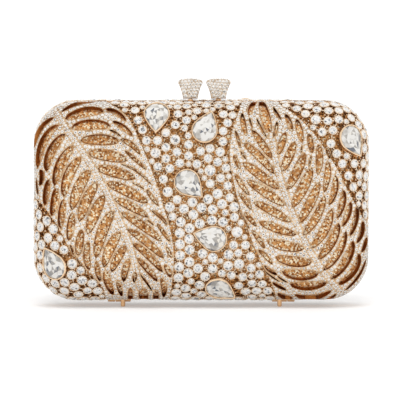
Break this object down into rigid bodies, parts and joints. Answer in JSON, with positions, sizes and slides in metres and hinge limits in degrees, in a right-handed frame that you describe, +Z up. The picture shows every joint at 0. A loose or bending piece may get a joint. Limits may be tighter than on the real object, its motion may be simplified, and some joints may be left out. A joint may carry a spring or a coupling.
{
  "type": "crystal clutch",
  "caption": "Hard-shell evening clutch with rounded corners, pierced leaf panels and set crystals, hinged along the bottom, with a kiss clasp on top.",
  "frame": {"origin": "floor level under the middle of the bag, on the closing plane between the two halves", "axes": "+X to the right as seen from the front, -Y out of the front face, +Z up from the feet to the clasp"},
  "size_m": [0.18, 0.053, 0.1222],
  "materials": {
    "frame_gold": "polished rose-gold plating",
    "cage_gold": "rose-gold plating, toned in the gaps",
    "leaf_gold": "pale rose-gold plating under small set crystals",
    "bezel_gold": "polished rose-gold plating",
    "crystal": "cut clear crystal on a silver foil back",
    "glitter_cloth": "rose-gold glitter cloth on board",
    "satin_lining": "champagne satin"
  },
  "bodies": {
    "back_half": {"back_rim": "frame_gold", "back_cage": "cage_gold", "back_liner": "glitter_cloth", "back_lining": "satin_lining", "back_leaf_left": "leaf_gold", "back_leaf_right": "leaf_gold", "back_pear_bezels": "bezel_gold", "back_pear_crystals": "crystal", "back_round_cups": "cage_gold", "back_round_crystals": "crystal", "back_hinge_leaf_left": "frame_gold", "back_hinge_leaf_right": "frame_gold", "hinge_pin_left": "bezel_gold", "hinge_pin_right": "bezel_gold", "back_feet": "frame_gold", "back_clasp_socket": "frame_gold"},
    "front_half": {"front_rim": "frame_gold", "front_cage": "cage_gold", "front_liner": "glitter_cloth", "front_lining": "satin_lining", "front_leaf_left": "leaf_gold", "front_leaf_right": "leaf_gold", "front_pear_bezels": "bezel_gold", "front_pear_crystals": "crystal", "front_round_cups": "cage_gold", "front_round_crystals": "crystal", "front_hinge_leaf_left": "frame_gold", "front_hinge_leaf_right": "frame_gold", "front_feet": "frame_gold", "front_clasp_socket": "frame_gold"},
    "front_clasp_knob": {"front_knob_stem": "frame_gold", "front_knob": "bezel_gold", "front_knob_crystals": "crystal"},
    "back_clasp_knob": {"back_knob_stem": "frame_gold", "back_knob": "bezel_gold", "back_knob_crystals": "crystal"}
  },
  "joints": [
    {"name": "front_opening", "type": "hinge", "parent": "back_half", "child": "front_half", "pos_m": [0, 0, 0.0032], "axis": [1, 0, 0], "range_deg": [0, 80]},
    {"name": "front_knob_flex", "type": "hinge", "parent": "front_half", "child": "front_clasp_knob", "pos_m": [-0.0058, -0.0016, 0.11095], "axis": [0, -1, 0], "range_deg": [0, 6], "stiffness_Nm_per_rad": 0.5},
    {"name": "back_knob_flex", "type": "hinge", "parent": "back_half", "child": "back_clasp_knob", "pos_m": [0.0092, 0.0016, 0.11095], "axis": [0, 1, 0], "range_deg": [0, 6], "stiffness_Nm_per_rad": 0.5}
  ]
}
